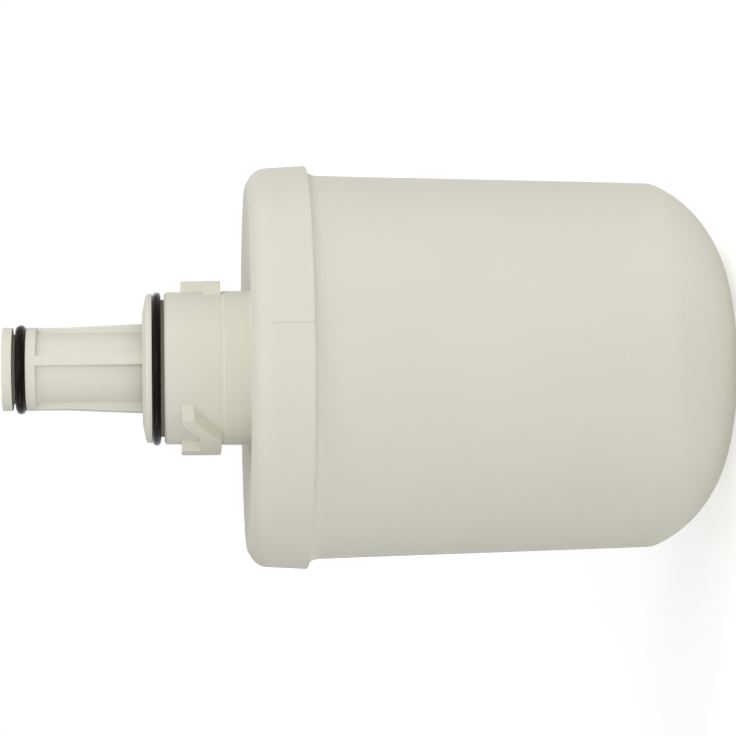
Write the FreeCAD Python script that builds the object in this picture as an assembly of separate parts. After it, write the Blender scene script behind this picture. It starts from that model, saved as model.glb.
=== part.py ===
"""Twist-in water filter cartridge for a refrigerator, in millimetres.

It stands on its closed end: the origin is the middle of the base, +Z runs up the cartridge's axis to the
spigot's tip. The head's mould parts in the YZ plane, so the two bayonet lugs point along -X and +X.
Raw water enters along the spigot's flutes, passes the neck's ring passage, soaks inwards through the block
and leaves by the nipple and the outlet in the spigot.
"""
import FreeCAD, Part
import math
import os

from FreeCAD import Vector

# Housing: a moulded cup with a flat to stand on, a shallow crown and a wide rounded edge
wall_top_r = 36.72
wall_taper = 1.62
body_height = 80.97
cup_wall = 2.4
knuckle_r = 23.0
crown_slope = math.radians(14.6)
corner_break = math.radians(22.3)
crown_width = 5.3
root_flare = 0.95
root_rise = 2.3
fin_count = 6
fin_thickness = 1.8
fin_reach = 22.0

# Collar: the head's drafted skirt over the housing's rim, welded tongue in groove, and its conical top
collar_length = 11.95
collar_draft = 0.44
collar_corner_r = 3.7
collar_edge_r = 0.45
top_fall = 0.62
skirt_wall = 0.87
skirt_gap = 0.08
top_wall = 3.4
tongue_width = 1.2
tongue_height = 0.8
groove_gap = 0.1
ridge_height = 0.2
ridge_width = 1.1
mould_halves = 2

# Neck: foot, drafted zone with the lugs, seal land, gland and shoulder
neck_foot_r = 14.72
neck_foot_length = 4.48
neck_root_r = 0.6
neck_step_length = 1.0
neck_draft = 0.05
neck_land_r = 14.55
neck_land_length = 2.75
land_chamfer = 0.45
neck_gland_depth = 1.45
neck_gland_width = 2.33
neck_gland_wall = 2.7
neck_wall = 2.35
shoulder_drop = 0.33
shoulder_length = 1.1
shoulder_rise = 0.75
shoulder_edge_r = 0.6

# Bayonet lug, in the direction in which the mould's slide pulls: sideways sizes are from the pull axis
lug_r = 16.65
lug_sink = 0.1
lug_width = 7.5
lug_lead = 11.05
nose_width = 2.2
nose_wall = 0.96
pocket_depth = 3.33
pocket_end = 2.11
back_reach = 3.27
heel_reach = 7.1
heel_width = 3.3
lug_edge_r = 0.3

# Spigot: tube with four flutes, its ribs flaring towards the shoulder
spigot_r = 7.92
spigot_length = 26.43
flute_depth = 1.06
rib_width = 2.1
rib_count = 4
rib_flare = 0.66
rib_straight = 5.6
ring_length = 1.85
tip_length = 1.9
tip_edge = 0.12
spigot_gland_depth = 1.3
spigot_gland_width = 2.55
outlet_r = 4.5
outlet_chamfer = 0.5

# Seal rings: round section, stretched onto the gland's floor
neck_seal_section = 1.62
spigot_seal_section = 1.9
seal_clearance = 0.05

# Filter block and its end caps
water_gap = 2.3
seat_gap = 1.6
plenum = 9.0
cap_wall = 1.2
cap_floor = 2.0
cap_rim = 5.0
cap_clearance = 0.1
cap_edge_r = 0.5
wrap_thickness = 0.8
wrap_clearance = 0.05
block_bore_r = 8.0
plug_length = 4.0
plug_clearance = 0.15
peg_r = 4.0
peg_length = 3.0
peg_clearance = 0.2

# Nipple of the upper end cap in the head's socket
socket_r = 7.1
socket_wall = 2.1
socket_gap = 1.0
nipple_length = 10.5
nipple_clearance = 0.15
nipple_bore_r = 4.0
nipple_land = 3.0
nipple_gland_depth = 1.4
nipple_gland_width = 2.2
nipple_seal_clearance = 0.03
socket_cone = 2.4

# Heights that follow from the sizes above, from the floor up
head_top_z = body_height + collar_length
under_z = head_top_z - top_wall
step_z = head_top_z + neck_foot_length
lug_bottom_z = step_z - lug_sink
lug_top_z = lug_bottom_z + lug_width
land_top_z = lug_top_z + neck_land_length
neck_gland_z = land_top_z + land_chamfer
shoulder_z = neck_gland_z + neck_gland_width
shoulder_rim_z = shoulder_z + shoulder_length
shoulder_top_z = shoulder_rim_z + shoulder_rise
tip_z = shoulder_top_z + spigot_length
spigot_gland_top_z = tip_z - tip_length
spigot_gland_z = spigot_gland_top_z - spigot_gland_width
flute_top_z = spigot_gland_z - ring_length

# Radii that follow
wall_foot_r = wall_top_r - wall_taper
flange_r = wall_top_r + root_flare
skirt_r = flange_r + skirt_gap
collar_r = skirt_r + skirt_wall
collar_top_r = collar_r - collar_draft
cone_r = neck_land_r + neck_draft
shoulder_r = neck_land_r - shoulder_drop
neck_gland_r = neck_land_r - neck_gland_depth
port_r = neck_gland_r - neck_gland_wall
passage_r = neck_land_r - neck_wall
tube_r = spigot_r - flute_depth
spigot_gland_r = spigot_r - spigot_gland_depth
socket_outer_r = socket_r + socket_wall
nipple_r = socket_r - nipple_clearance
nipple_gland_r = nipple_r - nipple_gland_depth

# Closed end: the knuckle's arc runs from the crown's slope to the break at the wall's foot
knuckle_end = math.pi / 2 - corner_break
knuckle_x = wall_foot_r - knuckle_r * math.sin(knuckle_end)
crown_edge_r = knuckle_x + knuckle_r * math.sin(crown_slope)
crown_r = crown_edge_r / math.sin(crown_slope)
base_flat_r = crown_edge_r - crown_width
flat_slope = math.asin(base_flat_r / crown_r)
crown_z = crown_r * math.cos(flat_slope)
knuckle_z = crown_z - (crown_r - knuckle_r) * math.cos(crown_slope)

# Block stack: seated clear of the knuckle, with the plenum left under the head
cap_r = wall_foot_r - cup_wall - water_gap
wrap_r = cap_r - cap_wall - cap_clearance
wrap_bore_r = wrap_r - wrap_thickness
block_r = wrap_bore_r - wrap_clearance
inner_knuckle_r = knuckle_r - cup_wall
seat_z = knuckle_z - math.sqrt(inner_knuckle_r ** 2 - (cap_r - knuckle_x) ** 2) + seat_gap
block_z = seat_z + cap_floor
upper_cap_z = under_z - plenum
block_top_z = upper_cap_z - cap_floor
nipple_top_z = upper_cap_z + nipple_length
nipple_gland_z = nipple_top_z - nipple_land - nipple_gland_width
socket_z = upper_cap_z + socket_gap
socket_top_z = nipple_top_z + socket_gap

AXIS = Vector(0, 0, 1)
ORIGIN = Vector(0, 0, 0)
FULL_TURN = 360


def bend(centre, radius, start, end):
    """Arc step of an outline: its middle and its end, at angles from the downward direction."""
    middle = (start + end) / 2
    r, z = centre
    return (
        r + radius * math.sin(middle),
        z - radius * math.cos(middle),
        r + radius * math.sin(end),
        z - radius * math.cos(end),
    )


def quarter(start, end, centre):
    """Arc step from start to end, whose middle lies on the circle round the centre."""
    radius = math.dist(start, centre)
    half = ((start[0] + end[0]) / 2 - centre[0], (start[1] + end[1]) / 2 - centre[1])
    share = radius / math.hypot(*half)
    return (centre[0] + half[0] * share, centre[1] + half[1] * share) + end


def turned(steps):
    """Solid of revolution about Z: each step is a point (r, z), or an arc's middle and end in one row."""
    edges = []
    here = Vector(steps[0][0], 0, steps[0][1])
    for step in steps[1:] + steps[:1]:
        end = Vector(step[-2], 0, step[-1])
        if len(step) > 2:
            edges.append(Part.Arc(here, Vector(step[0], 0, step[1]), end).toShape())
        else:
            edges.append(Part.LineSegment(here, end).toShape())
        here = end
    return Part.Face(Part.Wire(edges)).revolve(ORIGIN, AXIS, FULL_TURN)


def pattern(shape, count):
    """Copies of a shape, evenly spaced round the axis."""
    copies = []
    for index in range(count):
        copy = shape.copy()
        copy.rotate(ORIGIN, AXIS, FULL_TURN * index / count)
        copies.append(copy)
    return Part.makeCompound(copies)


def radial_plate(outline, thickness):
    """Upright plate on the -Y side, from its outline of (r, z) points."""
    corners = [Vector(-thickness / 2, -r, z) for r, z in outline]
    face = Part.Face(Part.makePolygon(corners + corners[:1]))
    return face.extrude(Vector(thickness, 0, 0))


def seal_ring(floor_r, section, z, clearance):
    """O-ring of a given section, just off its gland's floor."""
    return Part.makeTorus(floor_r + clearance + section / 2, section / 2, Vector(0, 0, z), AXIS)


def closed_end(depth):
    """Steps of the closed end from the axis to the wall's foot, at a depth below the outer surface."""
    knuckle = knuckle_r - depth
    foot_r = wall_foot_r - depth
    foot_slope = math.asin((foot_r - knuckle_x) / knuckle)
    flat_z = crown_z - (crown_r - depth) * math.cos(flat_slope)
    return [
        (0, flat_z),
        ((crown_r - depth) * math.sin(flat_slope), flat_z),
        bend((0, crown_z), crown_r - depth, flat_slope, crown_slope),
        bend((knuckle_x, knuckle_z), knuckle, crown_slope, foot_slope),
    ]


def filter_housing():
    """Cup with a flared root under the collar, a rim with its weld tongue, and fins that seat the block."""
    root = (wall_top_r, body_height - root_rise)
    rim = (flange_r, body_height)
    root_r = (root_flare ** 2 + root_rise ** 2) / (2 * root_flare)
    flare = quarter(root, rim, (wall_top_r + root_r, root[1]))
    outside = closed_end(0) + [root, flare, (flange_r, under_z)]
    bore_r = wall_top_r - cup_wall
    tongue_r = (flange_r + bore_r - tongue_width) / 2
    tongue = [
        (tongue_r + tongue_width, under_z),
        (tongue_r + tongue_width, under_z + tongue_height),
        (tongue_r, under_z + tongue_height),
        (tongue_r, under_z),
    ]
    cup = turned(outside + tongue + [(0, under_z)])
    cavity = turned(closed_end(cup_wall) + [(bore_r, body_height), (bore_r, under_z), (0, under_z)])
    fin = radial_plate(
        [(peg_r + peg_clearance, 0), (fin_reach, 0), (fin_reach, seat_z), (peg_r + peg_clearance, seat_z)],
        fin_thickness,
    )
    fins = pattern(fin, fin_count).common(cup)
    return cup.cut(cavity).fuse(fins).removeSplitter()


def collar_and_neck():
    """Turned shell of the head: skirt, rounded top, neck, gland and shoulder, hollow for the raw water."""
    edge = (collar_r - collar_edge_r, body_height)
    side = (collar_r, body_height + collar_edge_r)
    corner = (collar_top_r, head_top_z - top_fall - collar_corner_r)
    face = (collar_top_r - collar_corner_r, head_top_z - top_fall)
    root = (neck_foot_r + neck_root_r, head_top_z)
    neck = (neck_foot_r, head_top_z + neck_root_r)
    shoulder = (shoulder_r, shoulder_rim_z - shoulder_edge_r)
    shoulder_face = (shoulder_r - shoulder_edge_r, shoulder_rim_z)
    bore_r = wall_top_r - cup_wall
    groove_r = (flange_r + bore_r - tongue_width) / 2 - groove_gap
    groove_end_r = groove_r + tongue_width + 2 * groove_gap
    groove_z = under_z + tongue_height + groove_gap
    return turned([
        (skirt_r, body_height),
        edge,
        quarter(edge, side, (edge[0], side[1])),
        corner,
        quarter(corner, face, (face[0], corner[1])),
        root,
        quarter(root, neck, (root[0], neck[1])),
        (neck_foot_r, step_z - neck_step_length),
        (cone_r, step_z),
        (neck_land_r, lug_top_z),
        (neck_land_r, land_top_z),
        (neck_land_r - land_chamfer, neck_gland_z),
        (neck_gland_r, neck_gland_z),
        (neck_gland_r, shoulder_z),
        (shoulder_r, shoulder_z),
        shoulder,
        quarter(shoulder, shoulder_face, (shoulder_face[0], shoulder[1])),
        (port_r, shoulder_top_z),
        (port_r, socket_top_z + 2 * socket_cone),
        (passage_r, socket_top_z + socket_cone),
        (passage_r, under_z),
        (groove_r, under_z),
        (groove_r, groove_z),
        (groove_end_r, groove_z),
        (groove_end_r, under_z),
        (skirt_r, under_z),
    ])


def outlet_tube():
    """Turned tube from the spigot's tip, with its gland, down to the socket that takes the nipple."""
    return turned([
        (outlet_r, tip_z - outlet_chamfer),
        (outlet_r + outlet_chamfer, tip_z),
        (spigot_r - tip_edge, tip_z),
        (spigot_r, tip_z - tip_edge),
        (spigot_r, spigot_gland_top_z),
        (spigot_gland_r, spigot_gland_top_z),
        (spigot_gland_r, spigot_gland_z),
        (spigot_r, spigot_gland_z),
        (spigot_r, flute_top_z),
        (tube_r, flute_top_z),
        (tube_r, socket_top_z + 2 * socket_cone),
        (socket_outer_r, socket_top_z + socket_cone),
        (socket_outer_r, socket_z),
        (socket_r, socket_z),
        (socket_r, socket_top_z),
        (outlet_r, socket_top_z),
    ])


def spigot_ribs():
    """Ribs between the flutes, and below them the webs that carry the tube in the neck."""
    inner_r = (outlet_r + tube_r) / 2
    flare_z = flute_top_z - rib_straight
    rib_outline = [
        (inner_r, shoulder_rim_z),
        (spigot_r + rib_flare, shoulder_rim_z),
        (spigot_r + rib_flare, shoulder_top_z),
        (spigot_r, flare_z),
        (spigot_r, flute_top_z),
        (inner_r, flute_top_z),
    ]
    plate_r = spigot_r + 2 * rib_flare
    plate_outline = [
        (inner_r, shoulder_rim_z),
        (plate_r, shoulder_rim_z),
        (plate_r, flute_top_z),
        (inner_r, flute_top_z),
    ]
    ribs = pattern(radial_plate(plate_outline, rib_width), rib_count).common(turned(rib_outline))
    web_r = (port_r + neck_gland_r) / 2
    web_z = socket_top_z + 2 * socket_cone
    web_outline = [
        (inner_r, web_z),
        (web_r, web_z),
        (web_r, shoulder_z),
        (port_r, shoulder_rim_z),
        (inner_r, shoulder_rim_z),
    ]
    return [ribs, pattern(radial_plate(web_outline, rib_width), rib_count)]


def bayonet_lugs():
    """Two wing lugs: a nose with a 45 degree ramp, a pocket behind it, and a heel along the lower edge."""
    lead_z = lug_top_z - nose_width
    ramp_end = lug_lead - (lead_z - lug_bottom_z)
    pocket_z = lug_top_z - pocket_depth
    pocket_start = lug_lead - nose_wall
    heel_z = lug_bottom_z + heel_width
    outline = [
        (lug_lead, lug_top_z),
        (lug_lead, lead_z),
        (ramp_end, lug_bottom_z),
        (-heel_reach, lug_bottom_z),
        (-heel_reach, heel_z),
        (-back_reach, heel_z),
        (-back_reach, lug_top_z),
        (pocket_end, lug_top_z),
        (pocket_end, pocket_z),
        (pocket_start - pocket_depth, pocket_z),
        (pocket_start, lug_top_z),
    ]
    corners = [Vector(0, -u, z) for u, z in outline]
    prism = Part.Face(Part.makePolygon(corners + corners[:1])).extrude(Vector(-lug_r, 0, 0))
    root_r = (neck_land_r + passage_r) / 2
    ring = turned([
        (root_r, lug_bottom_z),
        (lug_r, lug_bottom_z),
        (lug_r, lug_top_z),
        (root_r, lug_top_z),
    ])
    lug = prism.common(ring).Solids[0]
    crest = next(face for face in lug.Faces if getattr(face.Surface, "Radius", 0) > cone_r)
    return pattern(lug.makeFillet(lug_edge_r, crest.Edges), mould_halves)


def parting_ridges():
    """Fine steps down the collar's drafted side, where the mould's two halves meet."""
    low_z = body_height + collar_edge_r
    high_z = head_top_z - top_fall - collar_corner_r

    def section(side_r, z):
        """Wedge across the ridge: a step on one side, run out on the other, its back sunk in the skirt."""
        back_r = side_r - skirt_wall / 2
        corners = [
            Vector(0, -back_r, z),
            Vector(0, -side_r - ridge_height, z),
            Vector(ridge_width, -side_r, z),
            Vector(ridge_width, -back_r, z),
        ]
        return Part.makePolygon(corners + corners[:1])

    ridge = Part.makeLoft([section(collar_r, low_z), section(collar_top_r, high_z)], True, True)
    return pattern(ridge, mould_halves)


def head_cap():
    """The head as it leaves the mould: shell, tube, ribs, lugs and parting ridges in one solid."""
    features = [outlet_tube(), *spigot_ribs(), bayonet_lugs(), parting_ridges()]
    return collar_and_neck().fuse(features).removeSplitter()


def carbon_block():
    """Hollow cylinder of pressed carbon."""
    return turned([
        (block_bore_r, block_z),
        (block_r, block_z),
        (block_r, block_top_z),
        (block_bore_r, block_top_z),
    ])


def prefilter_wrap():
    """Fibre sleeve round the block, between the caps' floors."""
    return turned([
        (wrap_bore_r, block_z),
        (wrap_r, block_z),
        (wrap_r, block_top_z),
        (wrap_bore_r, block_top_z),
    ])


def lower_end_cap():
    """Cap with a rim round the wrap, a plug in the block's bore and a peg between the housing's fins."""
    plug_r = block_bore_r - plug_clearance
    edge = (cap_r - cap_edge_r, seat_z)
    side = (cap_r, seat_z + cap_edge_r)
    return turned([
        (0, seat_z - peg_length),
        (peg_r, seat_z - peg_length),
        (peg_r, seat_z),
        edge,
        quarter(edge, side, (edge[0], side[1])),
        (cap_r, block_z + cap_rim),
        (cap_r - cap_wall, block_z + cap_rim),
        (cap_r - cap_wall, block_z),
        (plug_r, block_z),
        (plug_r, block_z + plug_length),
        (0, block_z + plug_length),
    ])


def upper_end_cap():
    """Cap with a rim and a plug as below, and the bored nipple with its gland."""
    plug_r = block_bore_r - plug_clearance
    side = (cap_r, upper_cap_z - cap_edge_r)
    edge = (cap_r - cap_edge_r, upper_cap_z)
    return turned([
        (nipple_bore_r, block_top_z - plug_length),
        (plug_r, block_top_z - plug_length),
        (plug_r, block_top_z),
        (cap_r - cap_wall, block_top_z),
        (cap_r - cap_wall, block_top_z - cap_rim),
        (cap_r, block_top_z - cap_rim),
        side,
        quarter(side, edge, (edge[0], side[1])),
        (nipple_r, upper_cap_z),
        (nipple_r, nipple_gland_z),
        (nipple_gland_r, nipple_gland_z),
        (nipple_gland_r, nipple_gland_z + nipple_gland_width),
        (nipple_r, nipple_gland_z + nipple_gland_width),
        (nipple_r, nipple_top_z),
        (nipple_bore_r, nipple_top_z),
    ])


def neck_o_ring():
    """Large seal, pressed up against the shoulder."""
    z = shoulder_z - seal_clearance - neck_seal_section / 2
    return seal_ring(neck_gland_r, neck_seal_section, z, seal_clearance)


def spigot_o_ring():
    """Small seal, against the lower side of its gland."""
    z = spigot_gland_z + seal_clearance + spigot_seal_section / 2
    return seal_ring(spigot_gland_r, spigot_seal_section, z, seal_clearance)


def nipple_o_ring():
    """Inner seal, squeezed between the nipple's gland and the socket's wall."""
    section = socket_r - nipple_gland_r - 2 * nipple_seal_clearance
    z = nipple_gland_z + nipple_gland_width / 2
    return seal_ring(nipple_gland_r, section, z, nipple_seal_clearance)


pieces = [
    filter_housing,
    head_cap,
    neck_o_ring,
    spigot_o_ring,
    carbon_block,
    prefilter_wrap,
    upper_end_cap,
    lower_end_cap,
    nipple_o_ring,
]
os.makedirs("parts", exist_ok=True)
for piece in pieces:
    piece().exportStep(f"parts/{piece.__name__}.step")
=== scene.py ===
"""Looks of a twist-in water filter cartridge for a refrigerator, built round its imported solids.

The cup, the head and the two outer seal rings are surfaces worked out with numpy, with the soft edges that
moulded plastic has. The filter inside keeps its solids. Sizes are millimetres until a mesh is made.
"""

import math

import bmesh
import bpy
import numpy as np
from mathutils import Matrix, Vector


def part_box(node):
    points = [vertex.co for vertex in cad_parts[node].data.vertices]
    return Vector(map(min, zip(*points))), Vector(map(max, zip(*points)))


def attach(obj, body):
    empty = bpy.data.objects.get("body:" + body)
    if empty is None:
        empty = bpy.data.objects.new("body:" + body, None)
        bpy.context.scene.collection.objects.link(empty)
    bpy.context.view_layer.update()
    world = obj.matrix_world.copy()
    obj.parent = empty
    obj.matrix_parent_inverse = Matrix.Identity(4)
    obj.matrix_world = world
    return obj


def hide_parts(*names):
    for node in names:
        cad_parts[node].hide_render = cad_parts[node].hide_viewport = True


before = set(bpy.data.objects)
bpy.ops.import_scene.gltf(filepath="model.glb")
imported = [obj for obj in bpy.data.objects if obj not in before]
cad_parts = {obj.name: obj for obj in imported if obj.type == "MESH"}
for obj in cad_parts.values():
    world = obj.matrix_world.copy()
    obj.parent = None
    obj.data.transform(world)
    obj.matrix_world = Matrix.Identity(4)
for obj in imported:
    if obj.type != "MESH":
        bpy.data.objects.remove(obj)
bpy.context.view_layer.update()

MM = 0.001
WELD = 0.0005
FULL_TURN = 2 * math.pi
HALF_TURN = math.pi
RIGHT_ANGLE = math.pi / 2


def box_mm(node):
    """Lowest and highest corner of a CAD node, in millimetres."""
    low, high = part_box(node)
    return np.array(low) / MM, np.array(high) / MM


_, cup_high = box_mm("filter_housing")
head_low, head_high = box_mm("head_cap")

# Cup: tapered wall, soft crease above a wide knuckle, shallow crown and a flat to stand on
flange_r = cup_high[0]
body_height = head_low[2]
wall_top_r = 36.72
wall_taper = 1.62
cup_wall = 2.4
knuckle_r = 23.0
crown_slope = math.radians(14.6)
corner_break = math.radians(22.3)
crown_width = 5.3
crease_reach = 1.0
root_rise = 2.3
fin_count = 6
fin_start = 4.2
fin_reach = 22.0
fin_width = 1.8
peg_length = 3.0

# Collar: drafted side, rounded corner, bevelled rim round a dished top, parting ridges, the weld's groove
collar_r = head_high[0]
collar_draft = 0.44
collar_length = 11.95
collar_corner_r = 3.7
collar_edge_r = 0.33
side_drop = 4.32
rim_r = 34.9
rim_drop = 0.5
rim_edge_r = 1.0
rim_bevel = math.tan(math.radians(27))
dish_depth = 0.9
skirt_gap = 0.08
top_wall = 3.4
tongue_width = 1.2
tongue_height = 0.8
groove_gap = 0.1
ridge_height = 0.2
ridge_width = 1.1
ridge_step = 0.09

# Neck: foot, drafted zone with the lugs, seal land, gland and shoulder
neck_foot_r = 14.72
neck_foot_length = 4.48
neck_root_r = 0.4
neck_step_length = 1.0
neck_step_r = 0.15
neck_step_rise = 0.3
neck_draft = 0.05
neck_land_r = 14.55
neck_land_length = 2.75
land_chamfer = 0.45
neck_gland_r = 13.1
neck_gland_width = 2.33
shoulder_r = 14.22
shoulder_length = 1.1
shoulder_rise = 0.75
shoulder_edge_r = 0.53
port_r = 10.4
passage_r = 12.2
fine_r = 0.12

# Bayonet lugs: sideways sizes are from the axis in which the mould's slide pulls
lug_r = 16.65
lug_sink = 0.1
lug_width = 7.5
lug_lead = 11.05
nose_width = 2.2
nose_wall = 0.96
pocket_depth = 3.33
pocket_end = 2.11
back_reach = 3.27
heel_reach = 7.1
heel_width = 3.3
lug_edge_r = 0.32

# Spigot: tube with four flutes, its ribs flaring towards the shoulder, down to the nipple's socket
tip_z = head_high[2]
spigot_r = 7.92
flute_depth = 1.06
flute_end = 0.3
rib_width = 2.1
rib_draft = 0.34
rib_count = 4
rib_flare = 0.66
rib_straight = 5.6
ring_length = 1.85
tip_length = 1.9
tip_edge = 0.15
spigot_gland_r = 6.62
spigot_gland_width = 2.55
outlet_r = 4.5
outlet_chamfer = 0.5
socket_r = 7.1
socket_outer_r = 9.2
socket_depth = 10.5
socket_z = head_low[2]
socket_top_z = socket_z + socket_depth
socket_cone = 2.4

# Heights that follow
seat_z = box_mm("lower_end_cap")[0][2] + peg_length
head_top_z = body_height + collar_length
under_z = head_top_z - top_wall
rim_z = head_top_z - rim_drop
step_z = head_top_z + neck_foot_length
step_middle_z = step_z - neck_step_length / 2
lug_bottom_z = step_z - lug_sink
lug_top_z = lug_bottom_z + lug_width
land_top_z = lug_top_z + neck_land_length
neck_gland_z = land_top_z + land_chamfer
shoulder_z = neck_gland_z + neck_gland_width
shoulder_rim_z = shoulder_z + shoulder_length
shoulder_top_z = shoulder_rim_z + shoulder_rise
spigot_gland_top_z = tip_z - tip_length
spigot_gland_z = spigot_gland_top_z - spigot_gland_width
flute_top_z = spigot_gland_z - ring_length

# Radii and centres that follow
collar_top_r = collar_r - collar_draft
cone_r = neck_land_r + neck_draft
lug_root_r = (neck_land_r + passage_r) / 2
bore_r = wall_top_r - cup_wall
wall_foot_r = wall_top_r - wall_taper
tube_r = spigot_r - flute_depth
tongue_r = (flange_r + bore_r - tongue_width) / 2
knuckle_end = RIGHT_ANGLE - corner_break
knuckle_x = wall_foot_r - knuckle_r * math.sin(knuckle_end)
crown_edge_r = knuckle_x + knuckle_r * math.sin(crown_slope)
crown_r = crown_edge_r / math.sin(crown_slope)
base_flat_r = crown_edge_r - crown_width
flat_slope = math.asin(base_flat_r / crown_r)
crown_z = crown_r * math.cos(flat_slope)
knuckle_z = crown_z - (crown_r - knuckle_r) * math.cos(crown_slope)

# Grid steps, the share of a side that a rounded corner may take, and the turn at which an edge is sharp
ROUND_STEPS = 192
CORNER_STEPS = 7
CORNER_POINTS = CORNER_STEPS + 2
CORNER_SHARE = 0.62
SIDE_SHARE = 0.25
DOME_STEPS = 33
SECTION_STEPS = 48
CREST_STEPS = 24
RIB_STEPS = 4
FLANK_STEPS = 9
FLOOR_STEPS = 9
SHARP_TURN = math.radians(40)

# View: nearly level with the cartridge's middle, and rolled, so that +Z runs to the picture's left
view_turn = math.radians(-12.2)
view_rise = math.radians(4.157)
view_roll = math.radians(0.39)
view_distance = 550.0
aim_z = 68.96
side_shift = -0.187
focal_length = 140.0
sensor_width = 36.0
near_clip = 50.0
toward = Vector((math.sin(view_turn), -math.cos(view_turn), 0))
picture_up = Vector((math.cos(view_turn), math.sin(view_turn), 0))
upright = Vector((0, 0, 1))


def arc(centre, radius, start, end, count):
    """Points (r, z) of a circle at even angles, which are measured from the downward direction."""
    angle = np.linspace(start, end, count)
    return np.column_stack([centre[0] + radius * np.sin(angle), centre[1] - radius * np.cos(angle)])


def smooth(share):
    """Smooth step 3 s^2 - 2 s^3 of a share that is kept between 0 and 1."""
    share = np.clip(share, 0, 1)
    return share * share * (3 - 2 * share)


def rounded(corners):
    """Closed outline with soft corners, from rows of a corner's r, its z and its radius.

    Where A and B are the points at which the arc leaves the sides of corner C, and w is the cosine of half
    the turn, the arc is (A (1-s)^2 + 2 w C s (1-s) + B s^2) / ((1-s)^2 + 2 w s (1-s) + s^2), s from 0 to 1.
    One more point on each side, a little further from the corner, keeps the shading of the sides straight.
    """
    corners = np.array(corners, float)[:, None, :]
    corner, radius = corners[..., :2], corners[..., 2:]
    ahead = np.roll(corner, -1, axis=0) - corner
    length = np.linalg.norm(ahead, axis=2, keepdims=True)
    ahead = ahead / length
    behind = np.roll(ahead, 1, axis=0)
    cosine = np.sum(ahead * behind, axis=2, keepdims=True)
    room = CORNER_SHARE * np.minimum(length, np.roll(length, 1, axis=0))
    reach = np.minimum(radius * np.sqrt((1 - cosine) / (1 + cosine)), room)
    weight = np.sqrt((1 + cosine) / 2)
    start = corner - behind * reach
    end = corner + ahead * reach
    share = np.linspace(0, 1, CORNER_STEPS)[None, :, None]
    first = (1 - share) ** 2
    middle = 2 * weight * share * (1 - share)
    last = share ** 2
    bend = (start * first + corner * middle + end * last) / (first + middle + last)
    before = start - behind * reach * SIDE_SHARE
    after = end + ahead * reach * SIDE_SHARE
    return np.concatenate([before, bend, after], axis=1).reshape(-1, 2)


def surface(points, wrap_rows, wrap_columns):
    """Vertices and quads of a grid of points, whose rows and columns may close on themselves."""
    rows, columns = points.shape[:2]
    row = np.arange(rows if wrap_rows else rows - 1)[:, None]
    column = np.arange(columns if wrap_columns else columns - 1)[None, :]
    next_row = (row + 1) % rows * columns
    next_column = (column + 1) % columns
    row = row * columns
    quads = [row + column, row + next_column, next_row + next_column, next_row + column]
    return points.reshape(-1, 3), np.stack(quads, axis=-1).reshape(-1, 4)


def turned(radius, height, angle):
    """Grid of a turned form: x = r cos t, y = r sin t, z, with r and z for each row and t for each column."""
    radius, height, angle = np.broadcast_arrays(radius, height[:, None], angle[None, :])
    return np.stack([radius * np.cos(angle), radius * np.sin(angle), height], axis=-1)


def round_angles(count):
    """Even angles round the axis."""
    return np.linspace(0, FULL_TURN, count, endpoint=False)


def piece(name, surfaces, node, material):
    """One mesh from several surfaces: welded at seams and poles, faces outwards, smooth up to real edges."""
    counts = [len(points) for points, _ in surfaces]
    starts = np.cumsum([0] + counts[:-1])
    points = np.concatenate([points for points, _ in surfaces]) * MM
    quads = np.concatenate([quads + start for (_, quads), start in zip(surfaces, starts)])
    mesh = bpy.data.meshes.new(name)
    mesh.from_pydata(points.tolist(), [], quads.tolist())
    work = bmesh.new()
    work.from_mesh(mesh)
    bmesh.ops.remove_doubles(work, verts=work.verts, dist=WELD * MM)
    bmesh.ops.recalc_face_normals(work, faces=work.faces)
    work.to_mesh(mesh)
    work.free()
    mesh.shade_smooth()
    mesh.set_sharp_from_angle(angle=SHARP_TURN)
    mesh.materials.append(material)
    made = bpy.data.objects.new(name, mesh)
    bpy.context.scene.collection.objects.link(made)
    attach(made, "root")
    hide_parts(node)


def closed_end(depth):
    """Outline of the closed end from the axis to the wall's foot, at a depth below the outer surface."""
    knuckle = knuckle_r - depth
    foot_slope = math.asin((wall_foot_r - depth - knuckle_x) / knuckle)
    flat_z = crown_z - (crown_r - depth) * math.cos(flat_slope)
    flat_r = (crown_r - depth) * math.sin(flat_slope)
    return np.concatenate([
        [(0, flat_z), (flat_r - crease_reach / 2, flat_z)],
        arc((0, crown_z), crown_r - depth, flat_slope, crown_slope, CORNER_STEPS),
        arc((knuckle_x, knuckle_z), knuckle, crown_slope, foot_slope, DOME_STEPS)[1:],
    ])


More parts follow.
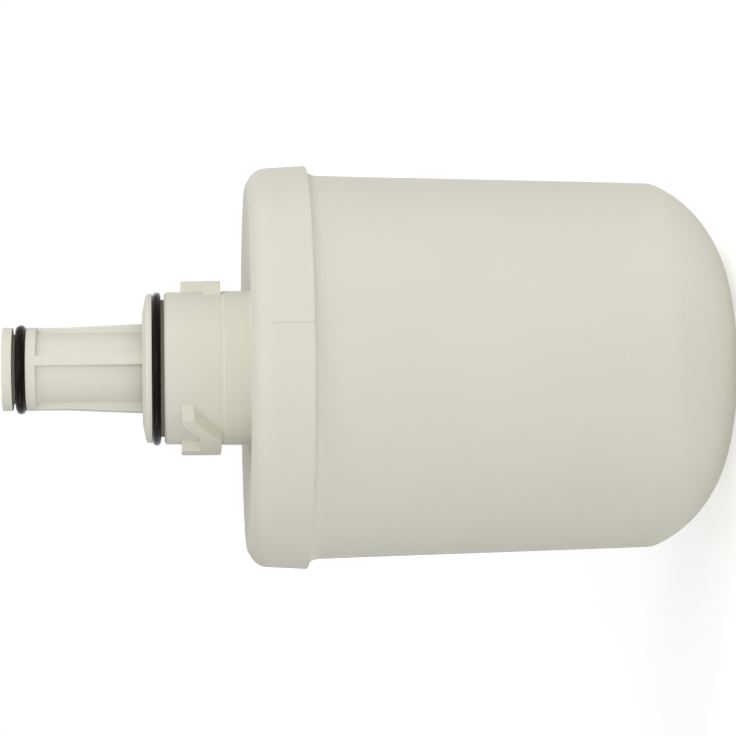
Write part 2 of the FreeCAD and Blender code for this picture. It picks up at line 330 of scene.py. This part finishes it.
def cup_surface():
    """Turned cup. Its crease is a parabola (1-s)^2 A + 2 s (1-s) C + s^2 B from the knuckle to the wall."""
    end = closed_end(0)
    foot = end[-1]
    root = np.array([wall_top_r, body_height - root_rise])
    wall = (root - foot) / np.linalg.norm(root - foot)
    crease_turn = crease_reach / knuckle_r
    before = arc((knuckle_x, knuckle_z), knuckle_r, knuckle_end - crease_turn, knuckle_end, 2)[0]
    share = np.linspace(0, 1, CORNER_STEPS)[:, None]
    after = foot + wall * crease_reach
    crease = before * (1 - share) ** 2 + 2 * foot * share * (1 - share) + after * share ** 2
    kept = end[end[:, 1] < before[1]]
    root_flare = flange_r - wall_top_r
    root_r = (root_flare ** 2 + root_rise ** 2) / (2 * root_flare)
    root_turn = math.asin(root_rise / root_r)
    root_centre = (wall_top_r + root_r, root[1])
    flare = arc(root_centre, root_r, -RIGHT_ANGLE, -RIGHT_ANGLE - root_turn, CORNER_STEPS)
    tongue_z = under_z + tongue_height
    rim = [
        (flange_r, under_z),
        (tongue_r + tongue_width, under_z),
        (tongue_r + tongue_width, tongue_z),
        (tongue_r, tongue_z),
        (tongue_r, under_z),
        (bore_r, under_z),
        (bore_r, body_height),
    ]
    outline = np.concatenate([kept, crease, [after + wall], flare, rim, closed_end(cup_wall)[::-1]])
    angle = round_angles(ROUND_STEPS)
    return surface(turned(outline[:, :1], outline[:, 1], angle), False, True)


def fin(turn):
    """Plate that holds the filter off the cup's floor: one outline at both faces, closed to its middle."""
    floor_z = cup_wall / 2
    rise = knuckle_z - math.sqrt(knuckle_r ** 2 - (fin_reach - knuckle_x) ** 2)
    edge = np.array([
        (fin_start, floor_z),
        (base_flat_r, floor_z),
        (fin_reach, rise + floor_z),
        (fin_reach, seat_z),
        (fin_start, seat_z),
    ])
    middle = np.broadcast_to(edge.mean(axis=0), edge.shape)
    sections = np.stack([middle, edge, edge, middle])
    side = np.array([-1, -1, 1, 1])[:, None] * fin_width / 2
    x = sections[..., 0] * math.cos(turn) - side * math.sin(turn)
    y = sections[..., 0] * math.sin(turn) + side * math.cos(turn)
    return surface(np.stack([x, y, sections[..., 1]], axis=-1), False, True)


def head_shell():
    """Turned shell from skirt to shoulder. A wedge of r, at two places round it, is where the mould parts.

    The collar's corner is where its side, r = side r - slope (z - side z), meets the rim's bevel,
    z = rim z - bevel (r - rim r). The dished top runs straight from the rim down to the neck's foot.
    """
    skirt_r = flange_r + skirt_gap
    groove_r = tongue_r - groove_gap
    groove_end_r = groove_r + tongue_width + 2 * groove_gap
    groove_z = under_z + tongue_height + groove_gap
    edge_z = body_height + collar_edge_r
    side_z = head_top_z - side_drop
    side_slope = collar_draft / (side_z - edge_z)
    bevel_rise = rim_z + rim_bevel * rim_r - side_z
    corner_r = (collar_top_r - side_slope * bevel_rise) / (1 - side_slope * rim_bevel)
    corner_z = rim_z - rim_bevel * (corner_r - rim_r)
    outline = rounded([
        (skirt_r, body_height, fine_r),
        (collar_r, body_height, collar_edge_r),
        (corner_r, corner_z, collar_corner_r),
        (rim_r, rim_z, rim_edge_r),
        (neck_foot_r, rim_z - dish_depth, neck_root_r),
        (neck_foot_r, step_middle_z - neck_step_rise / 2, neck_step_r),
        (cone_r, step_middle_z + neck_step_rise / 2, neck_step_r),
        (neck_land_r, lug_top_z, 0),
        (neck_land_r, land_top_z, fine_r),
        (neck_land_r - land_chamfer, neck_gland_z, fine_r),
        (neck_gland_r, neck_gland_z, fine_r),
        (neck_gland_r, shoulder_z, fine_r),
        (shoulder_r, shoulder_z, fine_r),
        (shoulder_r, shoulder_rim_z, shoulder_edge_r),
        (port_r, shoulder_top_z, fine_r),
        (port_r, socket_top_z + 2 * socket_cone, 0),
        (passage_r, socket_top_z + socket_cone, 0),
        (passage_r, under_z, 0),
        (groove_r, under_z, 0),
        (groove_r, groove_z, 0),
        (groove_end_r, groove_z, 0),
        (groove_end_r, under_z, 0),
        (skirt_r, under_z, 0),
    ])
    across = np.concatenate([
        np.linspace(-ridge_step, ridge_step, CORNER_STEPS),
        np.linspace(ridge_step, ridge_width + ridge_step, 2 * CORNER_STEPS),
    ]) / collar_r
    marks = np.array([-RIGHT_ANGLE, RIGHT_ANGLE])[:, None]
    angle = np.unique(np.concatenate([round_angles(ROUND_STEPS) - HALF_TURN, (marks + across).ravel()]))
    along = ((angle + HALF_TURN) % HALF_TURN - RIGHT_ANGLE) * collar_r
    wedge = np.interp(along, [-ridge_step, ridge_step, ridge_width], [0, 1, 0])
    radius, height = outline[:, :1], outline[:, 1]
    fade = np.interp(height, [body_height, edge_z, side_z, side_z + ridge_width], [0, 1, 1, 0])
    fade = fade * (outline[:, 0] > collar_top_r - collar_edge_r)
    swell = ridge_height * fade[:, None] * wedge[None, :]
    return surface(turned(radius + swell, height, angle), True, True)


def spigot():
    """Ribbed tube: r = floor + (rib - floor) s, where s rises smoothly from 0 in a flute to 1 on a rib.

    Each row has a height, the flutes' floor and the ribs' crest. Where the two agree, the row is a circle.
    """
    web_z = socket_top_z + 2 * socket_cone
    web_r = (port_r + neck_gland_r) / 2
    rib_foot_r = spigot_r + rib_flare
    flare_z = flute_top_z - rib_straight
    ribbed = np.array([
        (socket_z, socket_outer_r, socket_outer_r),
        (socket_top_z + socket_cone, socket_outer_r, socket_outer_r),
        (web_z, tube_r, tube_r),
        (web_z + fine_r, tube_r, web_r),
        (shoulder_z, tube_r, web_r),
        (shoulder_rim_z, tube_r, port_r),
        (shoulder_rim_z + fine_r, tube_r, rib_foot_r),
        (shoulder_top_z, tube_r, rib_foot_r),
        (flare_z, tube_r, spigot_r),
        (flute_top_z - 2 * flute_end, tube_r, spigot_r),
    ])
    share = np.linspace(0, 1, CORNER_STEPS)
    end_z = flute_top_z - flute_end * (1 - share)
    end_floor = tube_r + flute_depth * smooth(share)
    flute_ends = np.column_stack([end_z, end_floor, np.full_like(share, spigot_r)])
    tip_corners = [
        (spigot_r, spigot_gland_z, fine_r),
        (spigot_gland_r, spigot_gland_z, fine_r),
        (spigot_gland_r, spigot_gland_top_z, fine_r),
        (spigot_r, spigot_gland_top_z, fine_r),
        (spigot_r, tip_z, tip_edge),
        (outlet_r, tip_z, outlet_chamfer),
        (outlet_r, socket_top_z, 0),
        (socket_r, socket_top_z, 0),
        (socket_r, socket_z, 0),
    ]
    # These only close the outline for its rounding: the ribbed rows take their place
    closing_corners = [
        (socket_outer_r, socket_z, 0),
        (socket_outer_r, flute_top_z, 0),
        (spigot_r, flute_top_z, 0),
    ]
    tip = rounded(tip_corners + closing_corners)[:len(tip_corners) * CORNER_POINTS]
    rows = np.concatenate([ribbed, flute_ends, np.column_stack([tip[:, 1], tip[:, 0], tip[:, 0]])])
    half_rib = rib_width / 2
    half_draft = rib_draft / 2
    pitch = FULL_TURN / rib_count
    half_pitch = pitch / 2
    across = np.concatenate([
        np.linspace(0, half_rib - half_draft, RIB_STEPS)[:-1] / spigot_r,
        np.linspace(half_rib - half_draft, half_rib + half_draft, FLANK_STEPS) / spigot_r,
        np.linspace((half_rib + rib_draft) / spigot_r, half_pitch, FLOOR_STEPS)[:-1],
    ])
    sector = np.concatenate([-across[:0:-1], across, [half_pitch]])
    angle = (np.arange(rib_count)[:, None] * pitch + sector).ravel()
    side = np.abs(np.tile(sector, rib_count)) * spigot_r
    rise = smooth((half_rib + half_draft - side) / rib_draft)
    radius = rows[:, 1:2] + (rows[:, 2:] - rows[:, 1:2]) * rise[None, :]
    return surface(turned(radius, rows[:, 0], angle), True, True)


def inset(outline, distance):
    """Closed outline moved inwards: each point goes along its sides' mitre, (n1 + n2) / (1 + n1 n2)."""
    ahead = np.roll(outline, -1, axis=0) - outline
    ahead = ahead / np.linalg.norm(ahead, axis=1, keepdims=True)
    normal = np.column_stack([-ahead[:, 1], ahead[:, 0]])
    before = np.roll(normal, 1, axis=0)
    return outline + distance * (normal + before) / (1 + np.sum(normal * before, axis=1, keepdims=True))


def bayonet_lug(turn):
    """Lug between a lower and an upper edge, pulled out to a cylinder, with a quarter-round crest edge.

    The edges have matching corners, so the strip between them is lower + (upper - lower) q for q from 0 to 1.
    """
    lead_z = lug_top_z - nose_width
    heel_z = lug_bottom_z + heel_width
    pocket_z = lug_top_z - pocket_depth
    pocket_start = lug_lead - nose_wall
    ramp_end = lug_lead - (lead_z - lug_bottom_z)
    # The two corners of the post's top are matched a quarter of its length in from its foot's ends
    post_quarter = (back_reach + pocket_end) / 4
    lower = np.array([
        (-heel_reach, lug_bottom_z),
        (-back_reach, lug_bottom_z),
        (post_quarter - back_reach, lug_bottom_z),
        (pocket_end - post_quarter, lug_bottom_z),
        (pocket_end, lug_bottom_z),
        (ramp_end, lug_bottom_z),
        (pocket_start, lead_z - nose_wall),
        (lug_lead, lead_z),
    ])
    upper = np.array([
        (-heel_reach, heel_z),
        (-back_reach, heel_z),
        (-back_reach, lug_top_z),
        (pocket_end, lug_top_z),
        (pocket_end, pocket_z),
        (pocket_start - pocket_depth, pocket_z),
        (pocket_start, lug_top_z),
        (lug_lead, lug_top_z),
    ])
    corner = np.arange(len(lower))
    station = np.linspace(0, len(lower) - 1, (len(lower) - 1) * CORNER_STEPS + 1)
    edges = [np.column_stack([np.interp(station, corner, row) for row in edge.T]) for edge in (lower, upper)]
    outline = np.concatenate([edges[0], edges[1][::-1]])
    bends = np.linspace(0, RIGHT_ANGLE, CORNER_STEPS)
    rings = [(outline, lug_root_r, 0)]
    rings += [
        (inset(outline, lug_edge_r * (1 - math.cos(bend))), lug_r, lug_edge_r * (1 - math.sin(bend)))
        for bend in bends
    ]

    def placed(flat, radius, drop):
        """Points (u, z) on a cylinder of that radius, less a drop along the pull."""
        out = np.sqrt(radius ** 2 - flat[..., 0] ** 2) - drop
        x = -out * math.cos(turn) + flat[..., 0] * math.sin(turn)
        y = -out * math.sin(turn) - flat[..., 0] * math.cos(turn)
        return np.stack([x, y, flat[..., 1]], axis=-1)

    def strip(ring, radius):
        """Cap of the lug, between the lower and the upper half of a ring."""
        half = len(ring) // 2
        lower_half = ring[:half]
        upper_half = ring[:half - 1:-1]
        share = np.linspace(0, 1, CREST_STEPS)[:, None, None]
        return surface(placed(lower_half + (upper_half - lower_half) * share, radius, 0), False, False)

    walls = surface(np.stack([placed(*ring) for ring in rings]), False, True)
    return [walls, strip(rings[-1][0], lug_r), strip(outline, lug_root_r)]


def seal_surface(node):
    """Torus: a circle of the seal's section, carried round the axis at the place of its solid."""
    low, high = box_mm(node)
    section = (high[2] - low[2]) / 2
    around = round_angles(SECTION_STEPS)
    radius = high[0] - section + section * np.cos(around)
    height = (low[2] + high[2]) / 2 + section * np.sin(around)
    return surface(turned(radius[:, None], height, round_angles(ROUND_STEPS)), True, True)


def colour(code):
    """Linear colour of an sRGB hex code, by the standard's curve."""
    level = np.array([int(code[place:place + 2], 16) for place in (1, 3, 5)]) / 255
    linear = np.where(level <= 0.04045, level / 12.92, ((level + 0.055) / 1.055) ** 2.4)
    return (*linear.tolist(), 1.0)


def add(tree, kind, inputs, **settings):
    """Adds a node with its settings, and gives each input a value or links it to another node's output."""
    made = tree.nodes.new(kind)
    for name, value in settings.items():
        setattr(made, name, value)
    for name, value in inputs.items():
        if isinstance(value, bpy.types.NodeSocket):
            tree.links.new(value, made.inputs[name])
        else:
            made.inputs[name].default_value = value
    return made


def new_material(name):
    """Empty material's node tree, with Object coordinates to draw on."""
    material = bpy.data.materials.new(name)
    material.use_nodes = True
    material.node_tree.nodes.clear()
    place = add(material.node_tree, "ShaderNodeTexCoord", {}).outputs["Object"]
    return material, material.node_tree, place


def moulded_polypropylene(name, dark, light, roughness, glands):
    """Moulded polypropylene with a satin skin: faint flow marks in the tone, soft gloss, fine eroded grain.

    Each gland is given by its floor's and its mouth's radius and by its two heights. In it the plastic is
    toned
    down the deeper it lies: partly grease, partly painted shade of the narrow gap beside the dark rubber.
    """
    flow_width = 24.0
    gloss_spread = 0.04
    # The tool's spark-eroded grain is about 0.1 mm: it is drawn at 0.5 mm, so that it shows
    grain_width = 0.5
    grain_depth = 0.02
    # Colour of the gland floors: partly grease, partly painted shade
    grease_and_gland_shade = "#9A9685"
    across_axis = (1.0, 1.0, 0.0)
    material, tree, place = new_material(name)
    flow = add(tree, "ShaderNodeTexNoise", {"Vector": place, "Scale": 1 / (flow_width * MM), "Detail": 2.0})
    grain = add(tree, "ShaderNodeTexNoise", {"Vector": place, "Scale": 1 / (grain_width * MM), "Detail": 1.0})
    gloss = add(tree, "ShaderNodeMapRange", {
        "Value": flow.outputs["Fac"],
        "To Min": roughness - gloss_spread,
        "To Max": roughness + gloss_spread,
    })
    bump = add(tree, "ShaderNodeBump", {
        "Height": grain.outputs["Fac"],
        "Strength": 0.15,
        "Distance": grain_depth * MM,
    })
    tone = add(tree, "ShaderNodeMixRGB", {
        "Fac": flow.outputs["Fac"],
        "Color1": colour(dark),
        "Color2": colour(light),
    }).outputs["Color"]
    flat = add(tree, "ShaderNodeVectorMath", {0: place, 1: across_axis}, operation="MULTIPLY")
    radius = add(tree, "ShaderNodeVectorMath", {0: flat.outputs["Vector"]}, operation="LENGTH")
    height = add(tree, "ShaderNodeSeparateXYZ", {"Vector": place})
    # Painted shade with grease: each gland's floor is mixed towards that colour, the more the deeper it lies
    for floor_r, mouth_r, low_z, high_z in glands:
        depth = add(tree, "ShaderNodeMapRange", {
            "Value": radius.outputs["Value"],
            "From Min": mouth_r * MM,
            "From Max": floor_r * MM,
        })
        inside = add(tree, "ShaderNodeMath", {
            0: height.outputs["Z"],
            1: (low_z + high_z) / 2 * MM,
            2: (high_z - low_z) / 2 * MM,
        }, operation="COMPARE")
        share = add(tree, "ShaderNodeMath", {
            0: depth.outputs["Result"],
            1: inside.outputs["Value"],
        }, operation="MULTIPLY")
        tone = add(tree, "ShaderNodeMixRGB", {
            "Fac": share.outputs["Value"],
            "Color1": tone,
            "Color2": colour(grease_and_gland_shade),
        }).outputs["Color"]
    # The surroundings are white all round: a low specular level keeps them from whitening the skin's edges
    skin = add(tree, "ShaderNodeBsdfPrincipled", {
        "Base Color": tone,
        "Roughness": gloss.outputs["Result"],
        "Normal": bump.outputs["Normal"],
        "IOR": 1.49,
        "Specular IOR Level": 0.12,
    })
    add(tree, "ShaderNodeOutputMaterial", {"Surface": skin.outputs["BSDF"]})
    return material


def black_nitrile():
    """Moulded nitrile rubber, lightly greased: near black, with a soft streak where the light catches it."""
    cloud_width = 2.0
    cloud_depth = 0.05
    material, tree, place = new_material("greased_black_nitrile")
    cloud = add(tree, "ShaderNodeTexNoise", {"Vector": place, "Scale": 1 / (cloud_width * MM), "Detail": 3.0})
    gloss = add(tree, "ShaderNodeMapRange", {"Value": cloud.outputs["Fac"], "To Min": 0.12, "To Max": 0.22})
    bump = add(tree, "ShaderNodeBump", {
        "Height": cloud.outputs["Fac"],
        "Strength": 0.1,
        "Distance": cloud_depth * MM,
    })
    tone = add(tree, "ShaderNodeMixRGB", {
        "Fac": cloud.outputs["Fac"],
        "Color1": colour("#100C06"),
        "Color2": colour("#17130C"),
    })
    # The surroundings are white all round: a low specular level leaves the streak and keeps the rest black
    skin = add(tree, "ShaderNodeBsdfPrincipled", {
        "Base Color": tone.outputs["Color"],
        "Roughness": gloss.outputs["Result"],
        "Normal": bump.outputs["Normal"],
        "IOR": 1.52,
        "Specular IOR Level": 0.06,
    })
    add(tree, "ShaderNodeOutputMaterial", {"Surface": skin.outputs["BSDF"]})
    return material


def pressed_carbon():
    """Activated carbon granules pressed with a binder: matt, dark grey, with paler facets of about 0.6 mm."""
    granule_width = 0.6
    granule_depth = 0.2
    material, tree, place = new_material("pressed_carbon_block")
    granule = add(tree, "ShaderNodeTexVoronoi", {"Vector": place, "Scale": 1 / (granule_width * MM)})
    bump = add(tree, "ShaderNodeBump", {
        "Height": granule.outputs["Distance"],
        "Strength": 0.6,
        "Distance": granule_depth * MM,
    })
    tone = add(tree, "ShaderNodeMixRGB", {
        "Fac": granule.outputs["Distance"],
        "Color1": colour("#1B1B1B"),
        "Color2": colour("#3A3A39"),
    })
    skin = add(tree, "ShaderNodeBsdfPrincipled", {
        "Base Color": tone.outputs["Color"],
        "Roughness": 0.85,
        "Normal": bump.outputs["Normal"],
        "IOR": 1.6,
    })
    add(tree, "ShaderNodeOutputMaterial", {"Surface": skin.outputs["BSDF"]})
    return material


def fibre_wrap():
    """Non-woven polypropylene fibre: soft white felt of fibres 0.3 mm apart, drawn out round the sleeve."""
    fibre_gap = 0.3
    fibre_length = 1.8
    fibre_depth = 0.15
    material, tree, place = new_material("nonwoven_fibre_wrap")
    drawn_out = (1.0, 1.0, fibre_length / fibre_gap)
    stretched = add(tree, "ShaderNodeMapping", {"Vector": place, "Scale": drawn_out})
    fibre = add(tree, "ShaderNodeTexNoise", {
        "Vector": stretched.outputs["Vector"],
        "Scale": 1 / (fibre_length * MM),
        "Detail": 5.0,
        "Distortion": 1.5,
    })
    bump = add(tree, "ShaderNodeBump", {
        "Height": fibre.outputs["Fac"],
        "Strength": 0.7,
        "Distance": fibre_depth * MM,
    })
    tone = add(tree, "ShaderNodeMixRGB", {
        "Fac": fibre.outputs["Fac"],
        "Color1": colour("#D9D9D4"),
        "Color2": colour("#F1F1EC"),
    })
    skin = add(tree, "ShaderNodeBsdfPrincipled", {
        "Base Color": tone.outputs["Color"],
        "Roughness": 0.95,
        "Normal": bump.outputs["Normal"],
        "IOR": 1.49,
        "Sheen Weight": 0.2,
    })
    add(tree, "ShaderNodeOutputMaterial", {"Surface": skin.outputs["BSDF"]})
    return material


def seen_directly(tree):
    """1 for a ray that shows the surroundings themselves: from the camera, or mirrored or passed on to it."""
    path = add(tree, "ShaderNodeLightPath", {})
    seen = path.outputs["Is Camera Ray"]
    for name in ("Is Glossy Ray", "Is Transmission Ray"):
        either = add(tree, "ShaderNodeMath", {0: seen, 1: path.outputs[name]}, operation="MAXIMUM")
        seen = either.outputs["Value"]
    return seen


def white_surroundings(ambient, lean):
    """World that is white to look at. Its soft light leans: it grows towards the picture's top."""
    world = bpy.data.worlds.new("white_surroundings")
    bpy.context.scene.world = world
    world.use_nodes = True
    tree = world.node_tree
    tree.nodes.clear()
    direction = add(tree, "ShaderNodeTexCoord", {}).outputs["Generated"]
    height = add(tree, "ShaderNodeVectorMath", {0: direction, 1: picture_up}, operation="DOT_PRODUCT")
    level = add(tree, "ShaderNodeMapRange", {
        "Value": height.outputs["Value"],
        "From Min": -1.0,
        "To Min": ambient - lean,
        "To Max": ambient + lean,
    })
    pure_white = colour("#FFFFFF")
    soft = add(tree, "ShaderNodeBackground", {"Color": pure_white, "Strength": level.outputs["Result"]})
    plain = add(tree, "ShaderNodeBackground", {"Color": pure_white, "Strength": 1.0})
    mixed = add(tree, "ShaderNodeMixShader", {
        0: seen_directly(tree),
        1: soft.outputs["Background"],
        2: plain.outputs["Background"],
    })
    add(tree, "ShaderNodeOutputWorld", {"Surface": mixed.outputs["Shader"]})


def pale_floor(size, glow, near, near_lift, far, far_lift):
    """Matt white floor, lit a little from below. To look at it is lifted to white, and keeps the shadow.

    The lift grows outwards from near to far, because the lamps light the floor only round the cartridge.
    """
    material = bpy.data.materials.new("matt_white_floor")
    material.use_nodes = True
    tree = material.node_tree
    tree.nodes.clear()
    paint = add(tree, "ShaderNodeBsdfDiffuse", {"Color": colour("#EDEDED")})
    place = add(tree, "ShaderNodeTexCoord", {}).outputs["Object"]
    distance = add(tree, "ShaderNodeVectorMath", {0: place}, operation="LENGTH")
    lift = add(tree, "ShaderNodeMapRange", {
        "Value": distance.outputs["Value"],
        "From Min": near * MM,
        "From Max": far * MM,
        "To Min": near_lift,
        "To Max": far_lift,
    })
    strength = add(tree, "ShaderNodeMath", {
        0: seen_directly(tree),
        1: lift.outputs["Result"],
        2: glow,
    }, operation="MULTIPLY_ADD")
    light = add(tree, "ShaderNodeEmission", {"Strength": strength.outputs["Value"]})
    both = add(tree, "ShaderNodeAddShader", {0: paint.outputs["BSDF"], 1: light.outputs["Emission"]})
    add(tree, "ShaderNodeOutputMaterial", {"Surface": both.outputs["Shader"]})
    edge = np.array([-size, size]) / 2
    x, y = np.meshgrid(edge, edge)
    points, quads = surface(np.stack([x, y, np.zeros_like(x)], axis=-1), False, False)
    mesh = bpy.data.meshes.new("floor")
    mesh.from_pydata((points * MM).tolist(), [], quads.tolist())
    mesh.materials.append(material)
    floor = bpy.data.objects.new("floor", mesh)
    bpy.context.scene.collection.objects.link(floor)


def softbox(name, turn, rise, size, level, target_z, distance):
    """Square lamp at a turn from the camera and a rise over the floor, aimed at a height on the axis.

    Its level is the brightness that it alone gives a white card that faces it there: power = level pi^2 d^2.
    """
    direction = (toward * math.cos(turn) + picture_up * math.sin(turn)) * math.cos(rise)
    direction = direction + upright * math.sin(rise)
    lamp = bpy.data.lights.new(name, "AREA")
    lamp.size = size * MM
    lamp.energy = level * math.pi ** 2 * (distance * MM) ** 2
    made = bpy.data.objects.new(name, lamp)
    made.location = (upright * target_z + direction * distance) * MM
    made.rotation_euler = direction.to_track_quat("Z", "Y").to_euler()
    bpy.context.scene.collection.objects.link(made)


# Finishes
# Glands whose floors get the painted shade and grease tone
glands = [
    (neck_gland_r, neck_land_r - land_chamfer, neck_gland_z - fine_r, shoulder_z + fine_r),
    (spigot_gland_r, spigot_r - fine_r, spigot_gland_z - fine_r, spigot_gland_top_z + fine_r),
]
ivory = moulded_polypropylene(
    "satin_ivory_polypropylene", dark="#DAD8CA", light="#E0DED2", roughness=0.72, glands=glands
)
white = moulded_polypropylene(
    "satin_white_polypropylene", dark="#E4E4DF", light="#EAEAE6", roughness=0.45, glands=[]
)
nitrile = black_nitrile()

# Pieces that replace the outer solids
lugs = bayonet_lug(0) + bayonet_lug(HALF_TURN)
fins = [fin(turn) for turn in round_angles(fin_count)]
piece("moulded_cup", [cup_surface()] + fins, "filter_housing", ivory)
piece("moulded_head", [head_shell(), spigot()] + lugs, "head_cap", ivory)
piece("neck_seal", [seal_surface("neck_o_ring")], "neck_o_ring", nitrile)
piece("spigot_seal", [seal_surface("spigot_o_ring")], "spigot_o_ring", nitrile)

# Inner solids, which stay as they are
inner_finish = {
    "carbon_block": pressed_carbon(),
    "prefilter_wrap": fibre_wrap(),
    "upper_end_cap": white,
    "lower_end_cap": white,
    "nipple_o_ring": nitrile,
}
for name, finish in inner_finish.items():
    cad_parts[name].data.materials.clear()
    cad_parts[name].data.materials.append(finish)

# Camera
back = toward * math.cos(view_rise) + upright * math.sin(view_rise)
picture_right = toward * math.sin(view_rise) - upright * math.cos(view_rise)
right = picture_right * math.cos(view_roll) - picture_up * math.sin(view_roll)
up = picture_up * math.cos(view_roll) + picture_right * math.sin(view_roll)
aim = upright * aim_z + picture_up * side_shift
lens = bpy.data.cameras.new("camera")
lens.lens = focal_length
lens.sensor_width = sensor_width
lens.clip_start = near_clip * MM
camera = bpy.data.objects.new("camera", lens)
view_axes = Matrix((right, up, back)).transposed().to_4x4()
camera.matrix_world = Matrix.Translation((aim + back * view_distance) * MM) @ view_axes
bpy.context.scene.collection.objects.link(camera)
bpy.context.scene.camera = camera

# Light: the softboxes stand round the cartridge, and a small card hangs close over its neck
lamp_size = 500.0
lamp_distance = 1000.0
shadow_reach = 150.0
bpy.context.scene.view_settings.view_transform = "Standard"
white_surroundings(ambient=0.345, lean=0.27)
pale_floor(size=6000.0, glow=0.17, near=shadow_reach, near_lift=0.35, far=lamp_distance, far_lift=0.85)
# Each softbox's name, its turn and rise in degrees, and its level
softboxes = [
    ("front_softbox", 10, 12, 0.275),
    ("upper_softbox", 60, 35, 0.165),
    ("fill_softbox", -80, 5, 0.27),
    ("back_softbox", 160, 5, 0.15),
]
for name, turn, rise, level in softboxes:
    softbox(name, math.radians(turn), math.radians(rise), lamp_size, level, aim_z, lamp_distance)
softbox(
    "overhead_card", turn=0, rise=math.radians(60), size=150.0, level=0.3, target_z=115.0, distance=190.0
)
